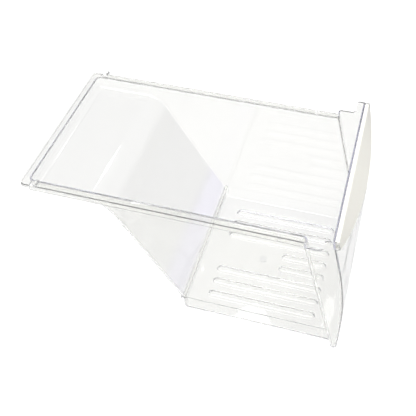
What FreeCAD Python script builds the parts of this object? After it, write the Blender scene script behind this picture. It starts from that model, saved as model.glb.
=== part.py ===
"""Refrigerator crisper drawer: a clear moulded pan with a white handle trim along its front.

Frame: +X across the drawer, -Y to the front, +Z up. The origin is the middle of the flat base.
All sizes are in millimetres.
"""
import FreeCAD, Part
import os
from math import atan, cos, radians, sin, tan

Vector = FreeCAD.Vector

# Overall sizes of the pan
base_length = 245.0         # foremost face of the front panel to the heel of the base
overall_depth = 482.5       # foremost face of the front panel to the outer edge of the back rim
front_height = 240.5        # base to the top of the front panel
post_height = 21.5          # corner posts of the front, above the side and back rim
inside_width = 257.6        # between the side walls
wall = 2.8                  # thickness of every wall of the pan

# Floor, slope and shelf of the pan
plinth_height = 19.0        # straight foot below the side walls
plinth_inset = 0.5          # how far the foot stands in from the walls
plinth_edge = 5.0           # rounding under the foot
slope_angle = radians(57)   # back slope against the floor
bend_radius = 42.0          # slope into shelf, on the underside
shelf_drop = 17.3           # rim to the shelf
heel_radius = 9.0           # rounding under the slope and up the back of the foot
back_radius = 11.0          # shelf into back wall
side_radius = 9.0           # rounding along the bottom of the side walls

# Rim flange, with its hanging lip
flange_width = 13.2         # inside of the wall to the outer edge of the rim
flange_thick = 2.6
flange_corner = 10.0
rim_round = 1.2             # rounding of the rim's inner edge
rim_crown = 1.2             # bevel of the rim's outer edge
lip_drop = 8.6              # lip along each side, from the top of the rim
back_lip_drop = 4.4         # lip along the back
lip_thick = 2.4
lip_gap_place = 31.0        # shoulder of the front to the gap in the lip
lip_gap_width = 5.0
stop_place = 26.5           # outer edge of the back rim to the middle of each stop
stop_length = 5.6
stop_height = 5.0
stop_round = 2.5
stop_slot = 7.0             # slot in the flange behind each stop
stop_slot_depth = 9.6

# Front panel and the wider head behind it
front_width = 305.0         # across the head, at the top
front_foot_width = 286.0    # across the head, at the base
panel_lean = 30.0           # how far the panel's top stands back from its foremost line
panel_angle = radians(13.5) # lean of the panel's upper part
panel_bend = 600.0          # radius between the panel's lower and upper part
shoulder_top = 69.0         # panel's foot back to the shoulder, at the rim
shoulder_foot = 9.5         # panel's foot back to the shoulder, at the base
shoulder_round = 5.6        # rounding of the shoulder, out and in
shoulder_sink = 0.3         # how far the shoulder's rounding runs into the side wall
panel_edge = 4.8            # rounding of the panel's upright edges, outside
head_edge = 4.0             # rounding under the head
head_lift = 0.6             # underside of the head above the base
stub_length = 12.0          # how far the head runs into the body, past the shoulder
post_depth = 42.5           # panel's foot back to the rear of the corner posts
post_foot = 6.0             # rounding at the bottom and the top of each post
post_crown = 3.5

# Raised beads of the floor
bead_pitch = 26.5
bead_pairs = 4              # beads each side of the middle, the innermost pair short
bead_width = 15.0
bead_rise = 3.2
bead_flank = 2.2            # how far each side leans in over its rise
bead_front = 40.0           # panel's foot back to the front end of the beads
long_bead = 174.0
short_bead = 76.0
gate_radius = 6.5           # round mark of the moulding gate, between the short beads
gate_rise = 0.7
gate_place = 145.0          # panel's foot back to the gate mark

# Handle trim
trim_thick = 2.6
trim_gap = 0.15             # between the trim and the panel
trim_strip = 5.4            # flat top of the trim, front to back
trim_reach_middle = 26.2    # panel's top edge out to the lower edge of the hood
trim_reach_end = 9.6
trim_drop_middle = 27.0     # top of the trim down to the lower edge of the hood
trim_drop_end = 11.6
trim_brow = 1.6             # rounding of the hood's upper edge
trim_leg = 10.0             # height of the leg that seats on the panel
tab_round = 3.0             # lower corner of the clear tab beside each end of the trim

# Places worked out from the sizes
rim_height = front_height - post_height
front_y = -base_length / 2
heel_y = base_length / 2
back_y = front_y + overall_depth
wall_half = inside_width / 2 + wall
flange_half = inside_width / 2 + flange_width
back_wall_y = back_y - flange_width + wall
shelf_z = rim_height - shelf_drop - wall
stop_y = back_y - stop_place
slot_y = stop_y + stop_length / 2
shoulder_slant = (shoulder_top - shoulder_foot) / rim_height
lap = 2 * wall              # how far the body and the foot run into the head
above = 10.0                # how far cutters stand past what they cut
reach = 2 * overall_depth   # a length past every side of the drawer
nearly = 0.9                # share of a normal that counts as facing one way


def across(y, z):
    """A point of a side profile, on the mirror plane."""
    return Vector(0, y, z)


def level(z):
    """Gives the function that places plan points at one height."""
    return lambda x, y: Vector(x, y, z)


def rounded_wire(corners, place):
    """A closed wire through corners (a, b, radius), each rounded by its own radius."""
    ends = []
    edges = []
    points = [place(a, b) for a, b, _ in corners]
    for i, corner in enumerate(points):
        radius = corners[i][2]
        back = (points[i - 1] - corner).normalize()
        ahead = (points[(i + 1) % len(points)] - corner).normalize()
        if radius == 0:
            ends.append((corner, corner, None))
            continue
        half = back.getAngle(ahead) / 2
        run = radius / tan(half)
        middle = (back + ahead).normalize()
        crown = corner + middle * (radius / sin(half) - radius)
        ends.append((corner + back * run, corner + ahead * run, crown))
    for i, (start, end, crown) in enumerate(ends):
        if crown is not None:
            edges.append(Part.Arc(start, crown, end).toShape())
        following = ends[(i + 1) % len(ends)][0]
        edges.append(Part.makeLine(end, following))
    return Part.Wire(edges)


def extrude_across(wire, half_width):
    """A side profile made into a solid, the same distance to each side."""
    face = Part.Face(wire)
    face.translate(Vector(-half_width, 0, 0))
    return face.extrude(Vector(2 * half_width, 0, 0))


def head_half(z):
    """Half the outside width of the head at one height."""
    return (front_foot_width + (front_width - front_foot_width) * z / front_height) / 2


def shoulder_y(z):
    """Rear face of the head's shoulder at one height."""
    return front_y + shoulder_foot + shoulder_slant * z


def panel_y(z):
    """Face of the front panel at one height of its leaning upper part."""
    return front_y + panel_lean - (front_height - z) * tan(panel_angle)


def chosen_edges(shape, wanted):
    """The edges for which wanted says yes, from their middle and the normals beside it."""
    chosen = []
    for edge in shape.Edges:
        middle = edge.valueAt((edge.FirstParameter + edge.LastParameter) / 2)
        normals = []
        for face in shape.ancestorsOfType(edge, Part.Face):
            u, v = face.Surface.parameter(middle)
            normals.append(face.normalAt(u, v))
        if wanted(middle, normals):
            chosen.append(edge)
    return chosen


def round_edges(shape, radius, wanted):
    """Rounds the edges for which wanted says yes."""
    return shape.makeFillet(radius, chosen_edges(shape, wanted))


def sideways(normals):
    """Whether one of the faces looks to a side."""
    return any(abs(n.x) > nearly for n in normals)


def upright_block(half, low, high, front, rear):
    """A block with upright sides, the same distance to each side."""
    return Part.makeBox(2 * half, rear - front, high - low, Vector(-half, front, low))


def leaning_block(inset, low, high, front, rear):
    """A block whose sides lean as the sides of the head do, set in by a distance."""
    corners = [
        (inset - head_half(low), low, 0),
        (head_half(low) - inset, low, 0),
        (head_half(high) - inset, high, 0),
        (inset - head_half(high), high, 0),
    ]
    wire = rounded_wire(corners, lambda x, z: Vector(x, front, z))
    return Part.Face(wire).extrude(Vector(0, rear - front, 0))


def body(inset, top):
    """Side walls, slope, shelf and back wall, as one solid block set in by a distance."""
    low = plinth_height + inset
    shelf = shelf_z + inset

    def slope_y(z):
        return heel_y + plinth_inset + (z - plinth_height) / tan(slope_angle) - inset / sin(slope_angle)

    profile = rounded_wire([
        (shoulder_y(top) - lap, top, 0),
        (shoulder_y(low) - lap, low, 0),
        (slope_y(low), low, heel_radius - inset),
        (slope_y(shelf), shelf, bend_radius + inset),
        (back_wall_y - inset, shelf, back_radius - inset),
        (back_wall_y - inset, top, 0),
    ], across)
    block = extrude_across(profile, reach)
    shape = block.common(upright_block(wall_half - inset, 0, top, front_y, back_y))

    def lower(middle, normals):
        return sideways(normals) and not any(n.y < -nearly or n.z > nearly for n in normals)

    return round_edges(shape, side_radius - inset, lower)


def plinth(inset, top):
    """The straight foot that the drawer stands on."""
    front = front_y + lap
    rear = heel_y - inset
    shape = upright_block(wall_half - plinth_inset - inset, inset, top, front, rear)

    def upright(middle, normals):
        return sideways(normals) and any(n.y > nearly for n in normals)

    def under(middle, normals):
        return any(n.z < -nearly for n in normals) and middle.y > front + above

    shape = round_edges(shape, heel_radius - inset, upright)
    return round_edges(shape, plinth_edge - inset, under)


def front_profile(inset, low, top, past):
    """Side profile from the panel's face to the shoulder, or to a distance past it."""
    lean = inset / cos(panel_angle)
    turn_z = front_height - (panel_lean + lean - inset) / tan(panel_angle)
    return rounded_wire([
        (front_y + inset, low, 0),
        (front_y + inset, turn_z, panel_bend - inset),
        (panel_y(top) + lean, top, 0),
        (shoulder_y(top) - inset + past, top, 0),
        (shoulder_y(low) - inset + past, low, 0),
    ], across)


def head(inset, top):
    """The wide front of the pan, as one solid block set in by a distance."""
    low = head_lift + inset
    wide = leaning_block(inset, low, top, front_y, reach)
    wide = wide.common(extrude_across(front_profile(inset, low, top, 0), reach))
    narrow = upright_block(wall_half - inset - shoulder_sink, low, top, front_y, reach)
    narrow = narrow.common(extrude_across(front_profile(inset, low, top, stub_length), reach))
    shape = wide.fuse(narrow).removeSplitter()

    def rear_corner(middle, normals):
        return sideways(normals) and any(n.y > nearly for n in normals) and not in_body(middle)

    def in_body(middle):
        return middle.y > shoulder_y(middle.z) + stub_length / 2

    def hollow_corner(middle, normals):
        return rear_corner(middle, normals) and abs(middle.x) < wall_half

    def outer_corner(middle, normals):
        return rear_corner(middle, normals) and abs(middle.x) > wall_half

    def front_corner(middle, normals):
        return sideways(normals) and any(n.y < -nearly for n in normals)

    def under(middle, normals):
        return any(n.z < -nearly for n in normals) and not in_body(middle)

    shape = round_edges(shape, shoulder_round + inset, hollow_corner)
    shape = round_edges(shape, shoulder_round - inset, outer_corner)
    if inset == 0:
        shape = round_edges(shape, panel_edge, front_corner)
    return round_edges(shape, head_edge - inset, under)


def rim_plan(shrink):
    """Plan of the rim flange, from the shoulders to the rounded back corners."""
    half = flange_half - shrink
    front = shoulder_y(rim_height) - wall
    corner = flange_corner - shrink
    return [
        (-half, front, 0),
        (half, front, 0),
        (half, back_y - shrink, corner),
        (-half, back_y - shrink, corner),
    ]


def rim():
    """Flat flange round the sides and back, with its hanging lip, deeper along the sides."""
    outer = Part.Face(rounded_wire(rim_plan(0), level(rim_height - lip_drop)))
    outer = outer.extrude(Vector(0, 0, lip_drop))

    def crown(middle, normals):
        front = shoulder_y(rim_height) - wall
        return middle.z > rim_height - wall / 2 and middle.y > front + wall

    outer = outer.makeChamfer(rim_crown, chosen_edges(outer, crown))
    inside = Part.Face(rounded_wire(rim_plan(lip_thick), level(rim_height - lip_drop - above)))
    inside = inside.extrude(Vector(0, 0, lip_drop + above - flange_thick))
    behind = Part.makeBox(2 * reach, reach, above)
    behind.translate(Vector(-reach, slot_y + stop_slot, rim_height - back_lip_drop - above))
    return outer.cut([inside, behind])


def above_rim():
    """The space over the side rim, behind the corner posts."""
    rear = front_y + post_depth
    wire = rounded_wire([
        (rear, rim_height, post_foot),
        (rear, front_height, post_crown),
        (rear - 2 * post_crown, front_height, 0),
        (rear - 2 * post_crown, front_height + above, 0),
        (reach, front_height + above, 0),
        (reach, rim_height, 0),
    ], across)
    return extrude_across(wire, reach)


def long_block(x, length, low, high, half_low, half_high):
    """A long block with round ends, narrower above than below."""
    near = front_y + bead_front + bead_width / 2
    far = near + length - bead_width
    wire = rounded_wire([
        (x - half_low, low, 0),
        (x + half_low, low, 0),
        (x + half_high, high, 0),
        (x - half_high, high, 0),
    ], lambda a, z: Vector(a, near, z))
    shape = Part.Face(wire).extrude(Vector(0, far - near, 0))
    for y in (near, far):
        place = Vector(x, y, low)
        shape = shape.fuse(Part.makeCone(half_low, half_high, high - low, place))
    return shape.removeSplitter()


def bead(x, length):
    """One raised bead of the floor, leaning in on all sides, and the hollow under it."""
    lean = bead_flank / bead_rise
    half = bead_width / 2
    root = wall / 2
    core = half - wall / 2
    rise = long_block(x, length, root, wall + bead_rise, half + lean * root, half - bead_flank)
    hollow = long_block(x, length, -root, bead_rise, core + lean * root, core - bead_flank)
    return rise, hollow


def floor_beads(shape):
    """Adds the beads and the gate mark to the floor."""
    rises = []
    hollows = []
    for pair in range(bead_pairs):
        x = bead_pitch / 2 + bead_pitch * pair
        length = short_bead if pair == 0 else long_bead
        for side in (-x, x):
            rise, hollow = bead(side, length)
            rises.append(rise)
            hollows.append(hollow)
    gate = Part.makeCylinder(gate_radius, wall / 2 + gate_rise, Vector(0, front_y + gate_place, wall / 2))
    return shape.fuse(rises + [gate]).cut(hollows)


def rim_details(shape):
    """Adds the rear stops with their slots, and the gap near the front of each lip."""
    inner = inside_width / 2
    root = rim_height - flange_thick / 2
    added = []
    removed = []
    for side in (-1, 1):
        wire = rounded_wire([
            (stop_y - stop_length / 2, root, 0),
            (stop_y + stop_length / 2, root, 0),
            (stop_y + stop_length / 2, rim_height + stop_height, stop_round),
            (stop_y - stop_length / 2, rim_height + stop_height, stop_round),
        ], across)
        stop = Part.Face(wire).extrude(Vector(flange_width - wall, 0, 0))
        stop.translate(Vector(inner + wall if side > 0 else -inner - flange_width, 0, 0))
        added.append(stop)
        slot = Part.makeBox(stop_slot_depth + above, stop_slot, flange_thick + above)
        low = flange_half - stop_slot_depth if side > 0 else -flange_half - above
        slot.translate(Vector(low, slot_y, rim_height - flange_thick))
        removed.append(slot)
        gap = Part.makeBox(lip_thick + above, lip_gap_width, lip_drop + above - flange_thick)
        low = flange_half - lip_thick if side > 0 else -flange_half - above
        gap.translate(Vector(low, shoulder_y(rim_height) + lip_gap_place, rim_height - lip_drop - above))
        removed.append(gap)
    return shape.fuse(added).cut(removed)


def end_tabs():
    """The tabs beside the ends of the trim, where the sides of the head run forward of the panel."""
    back, brow, edge = trim_corners(1)[:3]
    wire = rounded_wire([
        (back[0] + lap, back[1], 0),
        (brow[0], brow[1], trim_brow),
        (edge[0], edge[1], tab_round),
        (panel_y(edge[1]) + lap, edge[1], 0),
    ], across)
    outside = leaning_block(0, edge[1], back[1], edge[0], reach)
    inside = leaning_block(wall, edge[1], back[1], edge[0], reach)
    return extrude_across(wire, reach).common(outside.cut(inside))


def make_pan():
    """The clear pan, moulded in one piece."""
    over = front_height + above
    foot = plinth(0, plinth_height + side_radius)
    outer = body(0, rim_height).fuse([foot, head(0, front_height), end_tabs(), rim()])
    inner = body(wall, over).fuse([plinth(wall, plinth_height + wall + side_radius), head(wall, over)])
    shape = outer.cut(inner).cut(above_rim())
    shape = floor_beads(rim_details(shape)).removeSplitter()

    def rim_edge(middle, normals):
        across_rim = abs(middle.x) < wall_half - wall / 2
        along_rim = shoulder_y(rim_height) + stub_length < middle.y < back_wall_y - wall / 2
        return across_rim and along_rim and middle.z > rim_height - flange_thick / 2

    return round_edges(shape, rim_round, rim_edge)


def trim_corners(share):
    """Corners of the trim's side profile; share runs from 0 in the middle to 1 at an end.

    They run from the panel over the flat top, down the hood to its lower edge, back up inside and
    down the leg that seats on the panel.
    """
    out = trim_reach_middle + (trim_reach_end - trim_reach_middle) * share ** 2
    drop = trim_drop_middle + (trim_drop_end - trim_drop_middle) * share ** 2
    top = front_height
    back = panel_y(top) - trim_gap
    brow = back - trim_strip
    edge = panel_y(top) - out
    lean = atan((brow - edge) / drop)
    thick = trim_thick / cos(lean)
    leg_z = top - trim_leg
    leg_y = panel_y(leg_z) - trim_gap
    return [
        (back, top, 0),
        (brow, top, trim_brow),
        (edge, top - drop, 0),
        (edge + thick, top - drop, 0),
        (brow + thick - trim_thick * tan(lean), top - trim_thick, 0),
        (back - trim_thick, top - trim_thick, 0),
        (leg_y - trim_thick, leg_z, 0),
        (leg_y, leg_z, 0),
    ]


def make_trim():
    """White handle along the top of the front panel, hollow behind for the fingers."""
    half = head_half(front_height - trim_drop_end) - wall - trim_gap
    sections = []
    for share in (-1, -0.5, 0, 0.5, 1):
        sections.append(rounded_wire(trim_corners(abs(share)), lambda y, z: Vector(half * share, y, z)))
    return Part.makeLoft(sections, True, False)


def main():
    """Writes one file for each piece."""
    os.makedirs("parts", exist_ok=True)
    for name, shape in (("pan", make_pan()), ("handle_trim", make_trim())):
        solid = shape.Solids[0]
        print(name, len(shape.Solids), solid.isValid(), round(solid.Volume))
        solid.exportStep("parts/" + name + ".step")


main()
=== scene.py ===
from math import hypot, radians

import bpy
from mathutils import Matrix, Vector


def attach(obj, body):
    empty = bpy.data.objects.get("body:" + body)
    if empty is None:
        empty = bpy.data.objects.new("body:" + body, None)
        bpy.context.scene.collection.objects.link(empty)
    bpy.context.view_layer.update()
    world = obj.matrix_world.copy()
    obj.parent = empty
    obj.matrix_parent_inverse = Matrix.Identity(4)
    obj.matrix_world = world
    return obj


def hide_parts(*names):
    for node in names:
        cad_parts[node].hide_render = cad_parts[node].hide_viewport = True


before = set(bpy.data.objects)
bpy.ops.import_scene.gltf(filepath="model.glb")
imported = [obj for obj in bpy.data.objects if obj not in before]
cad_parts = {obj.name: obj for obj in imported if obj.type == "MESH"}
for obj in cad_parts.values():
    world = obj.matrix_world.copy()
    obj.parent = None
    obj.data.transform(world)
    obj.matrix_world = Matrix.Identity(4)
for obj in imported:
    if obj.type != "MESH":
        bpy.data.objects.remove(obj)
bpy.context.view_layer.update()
scene = bpy.context.scene
scene.view_settings.view_transform = "Standard"

# The pan is one injection moulding in clear styrene, polished like the steel of its tool. The floor with
# its raised beads, the slope, the shelf and the rim are one piece. It hangs in the refrigerator by the rim.
wall = 0.0028               # floor and walls
bead_rise = 0.0032          # beads above the floor, and their hollows above the base
beads_half = 0.102          # middle of the drawer to past the outermost beads
beads_front = -0.084        # just past the ends of the beads
beads_back = 0.093
gate_place = (0, 0.0225)    # middle of the round mark where the tool was filled
gate_reach = 0.008          # just past the edge of that mark
foot_back = 0.105           # just ahead of the back of the foot
heel = 0.1215               # between the inside and the outside of the heel
corner_half = 0.1402        # middle of the drawer to the panel's inner corners, at the base
corner_lean = 0.0395        # how far those corners go out for each metre up
corner_back = -0.0885       # just behind the panel's inner corners
hair = 0.00001              # heights this near count as the same
near_corner = 0.0002        # points this near count as in a corner
doubled = 0.000001          # loose corners this near are one
empty = 1e-10               # faces with less area than this are empty
flat_fold = radians(0.5)    # faces that fold less than this are one
sharp_fold = radians(28)    # edges that fold more than this may be rounded
soft_fold = radians(32)     # edges that fold less than this are smooth to the eye

bpy.ops.object.select_all(action="DESELECT")
pan = bpy.data.objects.new("clear_pan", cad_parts["pan"].data.copy())
scene.collection.objects.link(pan)
pan.select_set(True)
bpy.context.view_layer.objects.active = pan
bpy.ops.object.mode_set(mode="EDIT")
bpy.ops.mesh.select_all(action="SELECT")
bpy.ops.mesh.customdata_custom_splitnormals_clear()
bpy.ops.mesh.mark_sharp(clear=True)
bpy.ops.mesh.remove_doubles(threshold=doubled)
bpy.ops.mesh.dissolve_limited(angle_limit=flat_fold)
bpy.ops.object.mode_set(mode="OBJECT")


def round_off(piece, width, steps, wanted):
    """Rounds the sharp edges of a piece that have both ends at a wanted place."""
    bpy.ops.object.mode_set(mode="EDIT")
    bpy.ops.mesh.select_mode(type="EDGE")
    bpy.ops.mesh.select_all(action="DESELECT")
    bpy.ops.mesh.edges_select_sharp(sharpness=sharp_fold)
    bpy.ops.object.mode_set(mode="OBJECT")
    points = piece.data.vertices
    sharp = [edge for edge in piece.data.edges if edge.select]
    chosen = [edge.index for edge in sharp if all(wanted(points[i].co) for i in edge.vertices)]
    bpy.ops.object.mode_set(mode="EDIT")
    bpy.ops.mesh.select_all(action="DESELECT")
    bpy.ops.object.mode_set(mode="OBJECT")
    for i in chosen:
        piece.data.edges[i].select = True
    bpy.ops.object.mode_set(mode="EDIT")
    bpy.ops.mesh.bevel(offset=width, segments=steps, affect="EDGES", clamp_overlap=False)
    bpy.ops.object.mode_set(mode="OBJECT")


def on_floor(height):
    """Gives the test for a point at one height of the beaded part of the floor, clear of the gate mark."""
    def test(p):
        beaded = abs(p.x) < beads_half and beads_front < p.y < beads_back
        clear_of_gate = hypot(p.x - gate_place[0], p.y - gate_place[1]) > gate_reach
        return beaded and clear_of_gate and abs(p.z - height) < hair
    return test


def at_heel(front, back, low, high):
    """Gives the test for a point between two places along the drawer and between two heights."""
    return lambda p: front < p.y < back and low < p.z < high


def beside_panel(p):
    """Whether a point is in an inner corner between the front panel and the leaning sides of the head."""
    corner = corner_half + corner_lean * p.z
    return abs(abs(p.x) - corner) < near_corner and p.y < corner_back


# The beads are soft: rounded over the top, where they rise from the floor, and the same underneath.
round_off(pan, width=0.0020, steps=4, wanted=on_floor(wall + bead_rise))
round_off(pan, width=0.0012, steps=3, wanted=on_floor(wall))
round_off(pan, width=0.0012, steps=3, wanted=on_floor(bead_rise))
round_off(pan, width=0.0010, steps=3, wanted=on_floor(0))
# The slope runs into the back of the foot in a soft wave, inside and out.
round_off(pan, width=0.0060, steps=6, wanted=at_heel(foot_back, heel, low=0.018, high=0.024))
round_off(pan, width=0.0050, steps=6, wanted=at_heel(heel, back=0.126, low=0.0195, high=0.0205))
# The panel's inner corners are hollowed.
round_off(pan, width=0.0018, steps=3, wanted=beside_panel)

# The rounding leaves a few empty faces at the ends of the heel. Those that can be are closed up.
bpy.ops.object.mode_set(mode="EDIT")
bpy.ops.mesh.select_mode(type="FACE")
bpy.ops.mesh.select_all(action="DESELECT")
bpy.ops.object.mode_set(mode="OBJECT")
for face in pan.data.polygons:
    face.select = face.area < empty and face.center.y > foot_back
bpy.ops.object.mode_set(mode="EDIT")
bpy.ops.mesh.dissolve_degenerate(threshold=2 * doubled)
bpy.ops.object.mode_set(mode="OBJECT")
bpy.ops.object.shade_smooth_by_angle(angle=soft_fold)
flat = pan.modifiers.new("flat", "WEIGHTED_NORMAL")
flat.keep_sharp = True
bpy.ops.object.modifier_apply(modifier=flat.name)


def worked_out(tree, operation, *values):
    """Adds a Math node that works on sockets or plain numbers, and gives its result."""
    node = tree.nodes.new("ShaderNodeMath")
    node.operation = operation
    for socket, value in zip(node.inputs, values):
        if isinstance(value, float):
            socket.default_value = value
        else:
            tree.links.new(value, socket)
    return node.outputs["Value"]


def parted(tree, place):
    """Gives the X, Y and Z of a place."""
    parts = tree.nodes.new("ShaderNodeSeparateXYZ")
    tree.links.new(place, parts.inputs["Vector"])
    return parts.outputs


def fade(tree, value, start, end):
    """Gives a mask that grows softly from nothing to full as a value goes from start to end."""
    step = tree.nodes.new("ShaderNodeMapRange")
    step.interpolation_type = "SMOOTHSTEP"
    step.inputs["From Min"].default_value = start
    step.inputs["From Max"].default_value = end
    tree.links.new(value, step.inputs["Value"])
    return step.outputs["Result"]


# Moulded plastic is never quite flat: the walls draw in a little as they cool, and use leaves a faint haze.
moulded = bpy.data.node_groups.new("moulded_surface", "ShaderNodeTree")
for name, low, high in (("Wave Size", 5.0, 200.0), ("Haze", 0.0, 1.0), ("Gloss", 0.0, 1.0)):
    socket = moulded.interface.new_socket(name, in_out="INPUT", socket_type="NodeSocketFloat")
    socket.min_value = low
    socket.max_value = high
for name in ("Roughness", "Height"):
    moulded.interface.new_socket(name, in_out="OUTPUT", socket_type="NodeSocketFloat")
given = moulded.nodes.new("NodeGroupInput").outputs
result = moulded.nodes.new("NodeGroupOutput").inputs
place = moulded.nodes.new("ShaderNodeTexCoord").outputs["Object"]
wave = moulded.nodes.new("ShaderNodeTexNoise")
wave.inputs["Detail"].default_value = 1.0
moulded.links.new(place, wave.inputs["Vector"])
moulded.links.new(given["Wave Size"], wave.inputs["Scale"])
moulded.links.new(wave.outputs["Fac"], result["Height"])
cloud = moulded.nodes.new("ShaderNodeTexNoise")
cloud.inputs["Scale"].default_value = 24.0
cloud.inputs["Detail"].default_value = 6.0
cloud.inputs["Roughness"].default_value = 0.65
moulded.links.new(place, cloud.inputs["Vector"])
hazed = worked_out(moulded, "MULTIPLY_ADD", cloud.outputs["Fac"], given["Haze"], given["Gloss"])
moulded.links.new(hazed, result["Roughness"])


def moulded_surface(tree, wave_size, haze, gloss):
    """Places the moulded surface in a material, with the material's own values."""
    surface = tree.nodes.new("ShaderNodeGroup")
    surface.node_tree = moulded
    surface.inputs["Wave Size"].default_value = wave_size
    surface.inputs["Haze"].default_value = haze
    surface.inputs["Gloss"].default_value = gloss
    return surface.outputs


clear = bpy.data.materials.new("clear_styrene")
clear.use_nodes = True
tree = clear.node_tree
output = tree.nodes["Material Output"]
styrene = tree.nodes["Principled BSDF"]
styrene.inputs["IOR"].default_value = 1.59
styrene.inputs["Transmission Weight"].default_value = 0.96
surface = moulded_surface(tree, wave_size=22.0, haze=0.02, gloss=0.0)
tree.links.new(surface["Roughness"], styrene.inputs["Roughness"])
bump = tree.nodes.new("ShaderNodeBump")
bump.inputs["Strength"].default_value = 1.0
bump.inputs["Distance"].default_value = 0.0001
tree.links.new(surface["Height"], bump.inputs["Height"])
tree.links.new(bump.outputs["Normal"], styrene.inputs["Normal"])

# The plastic has its own tones. The slope and the shelf are greyed with painted shade, and the floor a
# little.
# The foot of the slope and the top edge of the panel, where one looks along the plastic, carry a painted
# lavender reflection and a painted dark lavender line of shade. The gate mark is grey.
bright = (0.996, 0.996, 0.976)
# Painted shade: a grey that darkens the slope and the shelf, and the floor a little.
painted_shade_grey = (0.955, 0.955, 0.942)
floor_shade_share = 0.4           # how far the floor gets the painted shade, against the slope and the shelf
# Painted reflection: a lavender tint at the foot of the slope.
painted_reflection_lavender = (0.885, 0.875, 0.935)
gate_grey = (0.88, 0.88, 0.88)
gate_height = 0.0015
# Painted shade: a dark lavender line along the top edge of the front panel.
painted_edge_shade = (0.5, 0.5, 0.6)


def toned(tree, mask, under, tone):
    """Lays a tone over a plain colour or a socket's colour, as far as a mask is full."""
    mix = tree.nodes.new("ShaderNodeMix")
    mix.data_type = "RGBA"
    first, second = [socket for socket in mix.inputs if socket.type == "RGBA"]
    tree.links.new(mask, mix.inputs["Factor"])
    if isinstance(under, tuple):
        first.default_value = (*under, 1)
    else:
        tree.links.new(under, first)
    second.default_value = (*tone, 1)
    return [socket for socket in mix.outputs if socket.type == "RGBA"][0]


place = tree.nodes.new("ShaderNodeTexCoord").outputs["Object"]
parts = parted(tree, place)
across = worked_out(tree, "ABSOLUTE", parts["X"])
inside_walls = fade(tree, across, start=0.1280, end=0.1240)
past_heel = fade(tree, parts["Y"], start=0.122, end=0.130)
low_on_slope = fade(tree, parts["Y"], start=0.158, end=0.142)
# The painted shade is full past the heel, on the slope and the shelf, and partial on the floor, inside the
# walls.
shade_reach = worked_out(tree, "MULTIPLY_ADD", past_heel, 1 - floor_shade_share, floor_shade_share)
painted_shade_mask = worked_out(tree, "MULTIPLY", inside_walls, shade_reach)
# Where the painted lavender reflection lies, at the foot of the slope inside the walls.
reflection_mask = worked_out(tree, "MULTIPLY", low_on_slope, past_heel)
reflection_mask = worked_out(tree, "MULTIPLY", reflection_mask, inside_walls)
from_gate = tree.nodes.new("ShaderNodeVectorMath")
from_gate.operation = "DISTANCE"
from_gate.inputs[1].default_value = (*gate_place, gate_height)
tree.links.new(place, from_gate.inputs[0])
gate = fade(tree, from_gate.outputs["Value"], start=0.0085, end=0.0045)
# Where the painted dark edge line lies, along the top edge of the panel between its posts.
top = fade(tree, parts["Z"], start=0.2400, end=0.2404)
between_posts = fade(tree, across, start=0.1490, end=0.1475)
edge_shade_mask = worked_out(tree, "MULTIPLY", top, between_posts)
# The base colour takes the painted shade, then the painted lavender reflection, the gate's grey and the
# painted dark edge line.
tone = toned(tree, painted_shade_mask, bright, painted_shade_grey)
tone = toned(tree, reflection_mask, tone, painted_reflection_lavender)
tone = toned(tree, gate, tone, gate_grey)
tone = toned(tree, edge_shade_mask, tone, painted_edge_shade)
tree.links.new(tone, styrene.inputs["Base Color"])
depth = tree.nodes.new("ShaderNodeVolumeAbsorption")
depth.inputs["Color"].default_value = (0.78, 0.79, 0.92, 1)
depth.inputs["Density"].default_value = 6.0
tree.links.new(depth.outputs["Volume"], output.inputs["Volume"])

# Light goes straight through the thin walls, so they leave only a faint shadow. The eye sees through many
# walls one behind another, and what is deeper than that counts as clear.
most_turns = 9.5
most_bounces = 40
path = tree.nodes.new("ShaderNodeLightPath").outputs
light = worked_out(tree, "MAXIMUM", path["Is Shadow Ray"], path["Is Diffuse Ray"])
deep = worked_out(tree, "GREATER_THAN", path["Ray Depth"], most_turns)
passing = tree.nodes.new("ShaderNodeBsdfTransparent")
passing.inputs["Color"].default_value = (0.997, 0.997, 0.997, 1)
seen = tree.nodes.new("ShaderNodeMixShader")
tree.links.new(worked_out(tree, "MAXIMUM", light, deep), seen.inputs["Fac"])
tree.links.new(styrene.outputs["BSDF"], seen.inputs[1])
tree.links.new(passing.outputs["BSDF"], seen.inputs[2])
tree.links.new(seen.outputs["Shader"], output.inputs["Surface"])
scene.cycles.max_bounces = most_bounces
scene.cycles.transmission_bounces = most_bounces
scene.cycles.glossy_bounces = most_bounces
pan.data.materials.clear()
pan.data.materials.append(clear)
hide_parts("pan")
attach(pan, "root")

# The handle trim is a white satin moulding, hollow behind for the fingers. It seats on the top of the front
# panel and is bonded there.
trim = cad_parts["handle_trim"]
white = bpy.data.materials.new("white_satin")
white.use_nodes = True
tree = white.node_tree
satin = tree.nodes["Principled BSDF"]
satin.inputs["Base Color"].default_value = (0.925, 0.91, 0.845, 1)
surface = moulded_surface(tree, wave_size=60.0, haze=0.12, gloss=0.3)
tree.links.new(surface["Roughness"], satin.inputs["Roughness"])
trim.data.materials.clear()
trim.data.materials.append(white)

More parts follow.
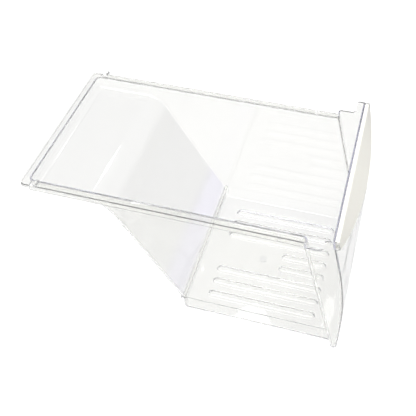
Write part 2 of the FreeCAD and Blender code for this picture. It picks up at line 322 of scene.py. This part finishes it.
# The floor is a plain white sheet of paper. The table ahead of it, to the right, is darker: it shows only
# in what the clear walls mirror, and elsewhere the paper runs on.
paper_gap = 0.0005          # keeps the paper just clear of the underside
paper_glow = 0.25           # lifts the paper to white for the camera
one_mirror = 0.5            # more turns than this are at least one
bpy.ops.object.select_all(action="DESELECT")
bpy.ops.mesh.primitive_plane_add(size=12, location=(0, 0, -paper_gap))
floor = bpy.context.object
floor.name = "floor"
bpy.ops.object.transform_apply(location=True)
paper = bpy.data.materials.new("white_paper")
paper.use_nodes = True
tree = paper.node_tree
tree.nodes.clear()
matt = tree.nodes.new("ShaderNodeBsdfDiffuse")
matt.inputs["Color"].default_value = (0.80, 0.80, 0.80, 1)
table = tree.nodes.new("ShaderNodeBsdfDiffuse")
table.inputs["Color"].default_value = (0.2, 0.2, 0.21, 1)
path = tree.nodes.new("ShaderNodeLightPath").outputs
parts = parted(tree, tree.nodes.new("ShaderNodeTexCoord").outputs["Object"])
ahead = fade(tree, parts["Y"], start=-0.24, end=-0.36)
to_the_right = fade(tree, parts["X"], start=0.10, end=0.25)
bare_table = worked_out(tree, "MULTIPLY", ahead, to_the_right)
mirrored = worked_out(tree, "GREATER_THAN", path["Glossy Depth"], one_mirror)
ground = tree.nodes.new("ShaderNodeMixShader")
tree.links.new(worked_out(tree, "MULTIPLY", bare_table, mirrored), ground.inputs["Fac"])
tree.links.new(matt.outputs["BSDF"], ground.inputs[1])
tree.links.new(table.outputs["BSDF"], ground.inputs[2])
glow = tree.nodes.new("ShaderNodeEmission")
tree.links.new(worked_out(tree, "MULTIPLY", path["Is Camera Ray"], paper_glow), glow.inputs["Strength"])
sheet = tree.nodes.new("ShaderNodeAddShader")
tree.links.new(ground.outputs["Shader"], sheet.inputs[0])
tree.links.new(glow.outputs["Emission"], sheet.inputs[1])
output = tree.nodes.new("ShaderNodeOutputMaterial")
tree.links.new(sheet.outputs["Shader"], output.inputs["Surface"])
floor.data.materials.append(paper)

# The light is a room, darkest low down and white at the ceiling, with a large soft lamp overhead, a small
# window behind and a soft lamp in front. The camera sees a white backdrop in place of the room.
room_greys = ((0.0, 0.12), (0.35, 0.5), (0.65, 0.42), (1.0, 1.0))      # height in the room, brightness
brightest = 3.0             # a glint in a thin edge is held to this, so that the dark line beside it stays
world = bpy.data.worlds.new("room")
scene.world = world
world.use_nodes = True
tree = world.node_tree
room = tree.nodes["Background"]
room.inputs["Strength"].default_value = 1.0
parts = parted(tree, tree.nodes.new("ShaderNodeTexCoord").outputs["Generated"])
height = tree.nodes.new("ShaderNodeValToRGB")
for spot, grey in room_greys[1:-1]:
    height.color_ramp.elements.new(spot)
for step, (spot, grey) in zip(height.color_ramp.elements, room_greys):
    step.color = (grey, grey, grey, 1)
tree.links.new(parts["Z"], height.inputs["Fac"])
tree.links.new(height.outputs["Color"], room.inputs["Color"])
backdrop = tree.nodes.new("ShaderNodeBackground")
backdrop.inputs["Color"].default_value = (1, 1, 1, 1)
camera_sees = tree.nodes.new("ShaderNodeLightPath").outputs["Is Camera Ray"]
around = tree.nodes.new("ShaderNodeMixShader")
tree.links.new(camera_sees, around.inputs["Fac"])
tree.links.new(room.outputs["Background"], around.inputs[1])
tree.links.new(backdrop.outputs["Background"], around.inputs[2])
tree.links.new(around.outputs["Shader"], tree.nodes["World Output"].inputs["Surface"])
scene.cycles.sample_clamp_direct = brightest
scene.cycles.sample_clamp_indirect = brightest


def soft_lamp(name, place, aim, width, depth, power):
    """Adds a soft rectangular lamp that looks at a point."""
    data = bpy.data.lights.new(name, "AREA")
    data.shape = "RECTANGLE"
    data.size = width
    data.size_y = depth
    data.energy = power
    lamp = bpy.data.objects.new(name, data)
    scene.collection.objects.link(lamp)
    lamp.location = place
    lamp.rotation_euler = (lamp.location - Vector(aim)).to_track_quat("Z", "Y").to_euler()


soft_lamp("overhead", place=(0.2, 0.3, 2.4), aim=(0, 0.1, 0), width=2.0, depth=2.0, power=46)
soft_lamp("window", place=(1.28, 0.66, 1.64), aim=(-0.071, 0.263, 0.202), width=0.3, depth=0.13, power=0.8)
soft_lamp("front", place=(-0.3, -2.5, 0.6), aim=(0, 0.1, 0.1), width=0.5, depth=1.2, power=4.3)

# The camera stands to the drawer's left and above it, and looks down into the pan. Its lens takes in the
# whole drawer with some air around it.
lens = bpy.data.cameras.new("camera")
lens.lens = 63.06
lens.sensor_width = 36
camera = bpy.data.objects.new("camera", lens)
scene.collection.objects.link(camera)
camera.location = (-0.7891, -0.1067, 0.9355)
camera.rotation_euler = (radians(44.37), 0, radians(-74.04))
scene.camera = camera
